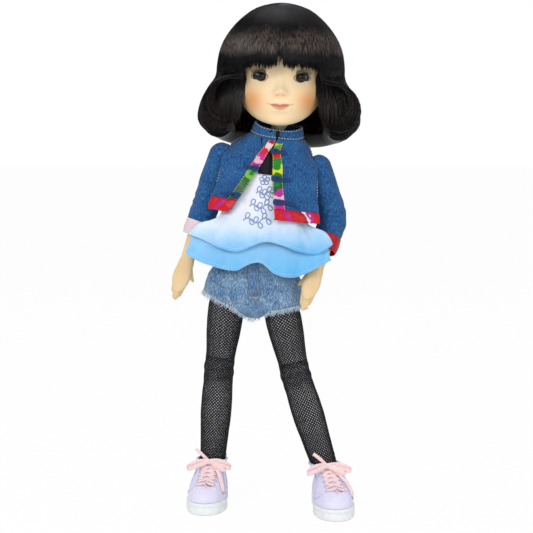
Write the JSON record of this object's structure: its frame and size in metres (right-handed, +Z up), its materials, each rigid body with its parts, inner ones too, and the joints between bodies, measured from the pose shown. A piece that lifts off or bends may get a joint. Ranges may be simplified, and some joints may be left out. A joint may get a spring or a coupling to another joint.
{
  "type": "fashion doll",
  "caption": "Dressed vinyl fashion doll with jointed neck, shoulders, elbows, hips and knees, wig, denim jacket, ruffled top, shorts, net leggings and laced shoes",
  "frame": {"origin": "on the floor at the middle of the doll's bounding box", "axes": "+Z up through the head; the face looks along -Y and the doll's own right side is at -X"},
  "size_m": [0.143, 0.1093, 0.3708],
  "materials": {
    "vinyl": "matt moulded vinyl",
    "nylon": "moulded nylon",
    "eye": "polished acrylic",
    "hair": "sleek wig fibre",
    "denim": "blue twill",
    "satin": "printed satin",
    "cord": "knotted cord",
    "cotton": "light cotton",
    "voile": "thin voile",
    "washed": "washed denim",
    "net": "fine fishnet",
    "steel": "plain",
    "upper": "soft imitation leather",
    "sole": "moulded",
    "ribbon": "flat lace"
  },
  "bodies": {
    "torso_body": {"torso": "vinyl", "jacket_back": "denim", "jacket_front_right": "denim", "jacket_front_left": "denim", "jacket_collar": "denim", "front_facing_right": "satin", "front_facing_left": "satin", "hem_trim_right": "satin", "hem_trim_left": "satin", "frog_left_upper": "cord", "frog_left_middle": "cord", "frog_left_lower": "cord", "frog_right_upper": "cord", "frog_right_lower": "cord", "top_bodice": "cotton", "top_ruffle": "voile", "shorts_seat": "washed"},
    "neck_body": {"neck_post": "nylon"},
    "head_body": {"head_shell": "vinyl", "eye_right": "eye", "eye_left": "eye", "hair_crown": "hair", "hair_fringe": "hair", "hair_curl_right": "hair", "hair_curl_left": "hair", "hair_back": "hair"},
    "shoulder_body_right": {"shoulder_hub_right": "nylon"},
    "shoulder_body_left": {"shoulder_hub_left": "nylon"},
    "arm_body_right": {"upper_arm_right": "vinyl", "sleeve_cap_right": "denim", "sleeve_right": "denim"},
    "arm_body_left": {"upper_arm_left": "vinyl", "sleeve_cap_left": "denim", "sleeve_left": "denim"},
    "elbow_body_right": {"elbow_hub_right": "nylon"},
    "elbow_body_left": {"elbow_hub_left": "nylon"},
    "forearm_body_right": {"forearm_right": "vinyl", "cuff_trim_right": "satin"},
    "forearm_body_left": {"forearm_left": "vinyl", "cuff_trim_left": "satin"},
    "hip_body_right": {"hip_hub_right": "nylon"},
    "hip_body_left": {"hip_hub_left": "nylon"},
    "thigh_body_right": {"thigh_right": "vinyl", "shorts_leg_right": "washed", "legging_right": "net"},
    "thigh_body_left": {"thigh_left": "vinyl", "shorts_leg_left": "washed", "legging_left": "net"},
    "shin_body_right": {"lower_leg_right": "vinyl", "knee_pin_right": "steel", "shoe_sole_right": "sole", "shoe_upper_right": "upper", "lace_right": "ribbon"},
    "shin_body_left": {"lower_leg_left": "vinyl", "knee_pin_left": "steel", "shoe_sole_left": "sole", "shoe_upper_left": "upper", "lace_left": "ribbon"}
  },
  "joints": [
    {"name": "neck_turn", "type": "hinge", "parent": "torso_body", "child": "neck_body", "pos_m": [0.01128, -0.0005, 0.28717], "axis": [0.1253, 0, 0.9921], "range_deg": [-70, 70], "deforming": ["hair_curl_right", "hair_curl_left", "hair_back"]},
    {"name": "neck_nod", "type": "hinge", "parent": "neck_body", "child": "head_body", "pos_m": [0.01128, -0.0005, 0.28717], "axis": [0.9994, 0, -0.0349], "range_deg": [-15, 12], "deforming": ["jacket_collar"]},
    {"name": "shoulder_swing_right", "type": "hinge", "parent": "torso_body", "child": "shoulder_body_right", "pos_m": [-0.03097, -0.0005, 0.26227], "axis": [-0.9921, 0, 0.1253], "range_deg": [-45, 140], "deforming": ["sleeve_cap_right", "jacket_front_right", "jacket_back", "hem_trim_right"]},
    {"name": "shoulder_swing_left", "type": "hinge", "parent": "torso_body", "child": "shoulder_body_left", "pos_m": [0.04046, -0.0005, 0.25325], "axis": [-0.9921, 0, 0.1253], "range_deg": [-35, 140], "deforming": ["sleeve_cap_left", "jacket_front_left", "hem_trim_left"]},
    {"name": "shoulder_spread_right", "type": "hinge", "parent": "shoulder_body_right", "child": "arm_body_right", "pos_m": [-0.03097, -0.0005, 0.26227], "axis": [0, 1, 0], "range_deg": [-4, 60]},
    {"name": "shoulder_spread_left", "type": "hinge", "parent": "shoulder_body_left", "child": "arm_body_left", "pos_m": [0.04046, -0.0005, 0.25325], "axis": [-0.0168, -0.991, -0.1327], "range_deg": [-3, 50]},
    {"name": "elbow_swivel_right", "type": "hinge", "parent": "arm_body_right", "child": "elbow_body_right", "pos_m": [-0.04334, -0.0005, 0.22423], "axis": [0.309, 0, 0.9511], "range_deg": [-50, 50]},
    {"name": "elbow_swivel_left", "type": "hinge", "parent": "arm_body_left", "child": "elbow_body_left", "pos_m": [0.05228, 0.00438, 0.21535], "axis": [-0.2957, -0.1219, 0.9475], "range_deg": [-8, 90]},
    {"name": "elbow_bend_right", "type": "hinge", "parent": "elbow_body_right", "child": "forearm_body_right", "pos_m": [-0.04334, -0.0005, 0.22423], "axis": [-0.9201, 0.2531, 0.299], "range_deg": [0, 85], "deforming": ["sleeve_right"]},
    {"name": "elbow_bend_left", "type": "hinge", "parent": "elbow_body_left", "child": "forearm_body_left", "pos_m": [0.05228, 0.00438, 0.21535], "axis": [-0.6524, 0.7503, -0.1071], "range_deg": [-36, 40], "deforming": ["sleeve_left"]},
    {"name": "hip_spread_right", "type": "hinge", "parent": "torso_body", "child": "hip_body_right", "pos_m": [-0.02661, -0.0005, 0.16123], "axis": [0, 1, 0], "range_deg": [-2, 18]},
    {"name": "hip_spread_left", "type": "hinge", "parent": "torso_body", "child": "hip_body_left", "pos_m": [0.0111, -0.0005, 0.15646], "axis": [0, -1, 0], "range_deg": [-18, 2]},
    {"name": "hip_swing_right", "type": "hinge", "parent": "hip_body_right", "child": "thigh_body_right", "pos_m": [-0.02661, -0.0005, 0.16123], "axis": [-0.9927, 0, 0.1203], "range_deg": [-12, 75], "deforming": ["shorts_leg_right", "shorts_seat", "top_ruffle", "top_bodice"]},
    {"name": "hip_swing_left", "type": "hinge", "parent": "hip_body_left", "child": "thigh_body_left", "pos_m": [0.0111, -0.0005, 0.15646], "axis": [-0.9766, 0, -0.2153], "range_deg": [-16, 50], "deforming": ["shorts_leg_left"]},
    {"name": "knee_bend_right", "type": "hinge", "parent": "thigh_body_right", "child": "shin_body_right", "pos_m": [-0.03381, 0.00212, 0.10172], "axis": [0.9927, 0, -0.1203], "range_deg": [0, 80], "deforming": ["legging_right"]},
    {"name": "knee_bend_left", "type": "hinge", "parent": "thigh_body_left", "child": "shin_body_left", "pos_m": [0.02398, -0.00468, 0.09801], "axis": [0.9766, 0, 0.2153], "range_deg": [0, 80], "deforming": ["legging_left"]}
  ]
}
